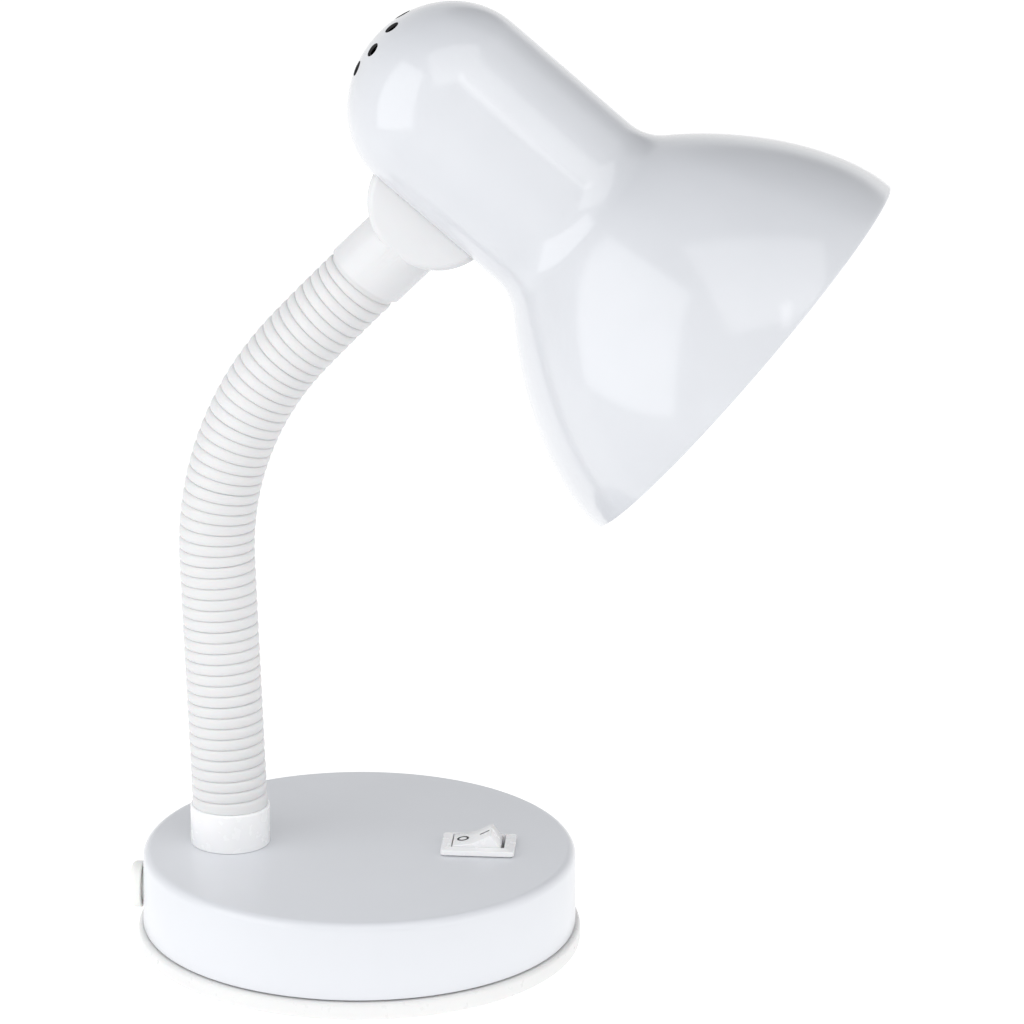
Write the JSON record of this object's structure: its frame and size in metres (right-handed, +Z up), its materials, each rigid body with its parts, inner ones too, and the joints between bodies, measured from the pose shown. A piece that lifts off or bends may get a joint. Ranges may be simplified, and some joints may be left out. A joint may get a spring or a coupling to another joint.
{
  "type": "gooseneck desk lamp",
  "caption": "Small desk lamp: round weighted base with rocker switch, ribbed flexible neck and tilting bell-shaped metal shade.",
  "frame": {"origin": "centre of the underside of the base, on the surface the lamp stands on", "axes": "+Z up; +X from the neck towards the rocker switch; -Y towards the front"},
  "size_m": [0.212, 0.137, 0.2752],
  "materials": {
    "white_enamel": "gloss white stove enamel",
    "white_gloss_plastic": "gloss white",
    "white_matte_plastic": "satin white",
    "zinc_steel": "zinc plated",
    "cast_iron": "as cast",
    "brass": "plain",
    "pad_rubber": "matte",
    "black_plastic": "satin black",
    "opal_glass": "opal, etched inside"
  },
  "bodies": {
    "base": {"base_plate": "white_gloss_plastic", "base_pad": "pad_rubber", "ballast_disc": "cast_iron", "weld_post": "zinc_steel", "base_bolt": "zinc_steel", "base_shell": "white_enamel", "cord_bushing": "white_matte_plastic", "bushing_nut": "white_matte_plastic", "switch_housing": "white_gloss_plastic", "rocker_pin": "zinc_steel", "switch_terminal_1": "brass", "switch_terminal_2": "brass", "neck_ferrule": "white_gloss_plastic", "neck_stem": "zinc_steel", "neck_washer": "zinc_steel", "neck_nut": "zinc_steel", "hose_1": "zinc_steel", "sleeve_1": "white_matte_plastic"},
    "rocker": {"switch_rocker": "white_gloss_plastic"},
    "neck_2": {"hose_2": "zinc_steel", "sleeve_2": "white_matte_plastic"},
    "neck_3": {"hose_3": "zinc_steel", "sleeve_3": "white_matte_plastic"},
    "neck_4": {"hose_4": "zinc_steel", "sleeve_4": "white_matte_plastic"},
    "neck_5": {"hose_5": "zinc_steel", "sleeve_5": "white_matte_plastic"},
    "neck_6": {"hose_6": "zinc_steel", "sleeve_6": "white_matte_plastic"},
    "neck_7": {"hose_7": "zinc_steel", "sleeve_7": "white_matte_plastic"},
    "knuckle": {"hose_8": "zinc_steel", "sleeve_8": "white_matte_plastic", "knuckle_near": "white_gloss_plastic", "knuckle_far": "white_gloss_plastic", "knuckle_screw_1": "zinc_steel", "knuckle_screw_2": "zinc_steel"},
    "head": {"shade": "white_enamel", "head_bracket": "zinc_steel", "tilt_washer_near": "brass", "tilt_washer_far": "brass", "pivot_pin": "zinc_steel", "lampholder_body": "black_plastic", "lampholder_ring": "black_plastic", "lampholder_thread": "brass", "lampholder_contact": "brass", "holder_screw_1": "zinc_steel", "holder_screw_2": "zinc_steel", "bulb_cap": "zinc_steel", "bulb_envelope": "opal_glass"}
  },
  "joints": [
    {"name": "rocker_switch", "type": "hinge", "parent": "base", "child": "rocker", "pos_m": [0.0342, 0, 0.027], "axis": [0, 1, 0], "range_deg": [0, 35]},
    {"name": "neck_bend_1", "type": "hinge", "parent": "base", "child": "neck_2", "pos_m": [-0.03809, 0.00007, 0.06129], "axis": [0.0837, 0.9965, 0], "range_deg": [-22, 10], "deforming": ["sleeve_1", "sleeve_2"]},
    {"name": "neck_sway_1", "type": "hinge", "parent": "neck_2", "child": "neck_3", "pos_m": [-0.03897, 0.00015, 0.08248], "axis": [0.9956, -0.0836, 0.0419], "range_deg": [-18, 18], "deforming": ["sleeve_2", "sleeve_3"]},
    {"name": "neck_bend_2", "type": "hinge", "parent": "neck_3", "child": "neck_4", "pos_m": [-0.03986, 0.00022, 0.10368], "axis": [0.0837, 0.9965, 0], "range_deg": [-22, 10], "deforming": ["sleeve_3", "sleeve_4"]},
    {"name": "neck_sway_2", "type": "hinge", "parent": "neck_4", "child": "neck_5", "pos_m": [-0.03996, 0.00023, 0.12487], "axis": [0.9925, -0.0833, -0.09], "range_deg": [-18, 18], "deforming": ["sleeve_4", "sleeve_5"]},
    {"name": "neck_bend_3", "type": "hinge", "parent": "neck_5", "child": "neck_6", "pos_m": [-0.03562, -0.00013, 0.14558], "axis": [0.0837, 0.9965, 0], "range_deg": [-22, 10], "deforming": ["sleeve_5", "sleeve_6"]},
    {"name": "neck_sway_3", "type": "hinge", "parent": "neck_6", "child": "neck_7", "pos_m": [-0.0266, -0.00089, 0.16471], "axis": [0.8449, -0.0709, -0.5302], "range_deg": [-18, 18], "deforming": ["sleeve_6", "sleeve_7"]},
    {"name": "neck_bend_4", "type": "hinge", "parent": "neck_7", "child": "knuckle", "pos_m": [-0.01349, -0.00199, 0.1813], "axis": [0.0837, 0.9965, 0], "range_deg": [-22, 10], "deforming": ["sleeve_7", "sleeve_8"]},
    {"name": "head_tilt", "type": "hinge", "parent": "knuckle", "child": "head", "pos_m": [0.02275, -0.00503, 0.22101], "axis": [0.0837, 0.9965, 0], "range_deg": [-22, 24]}
  ]
}
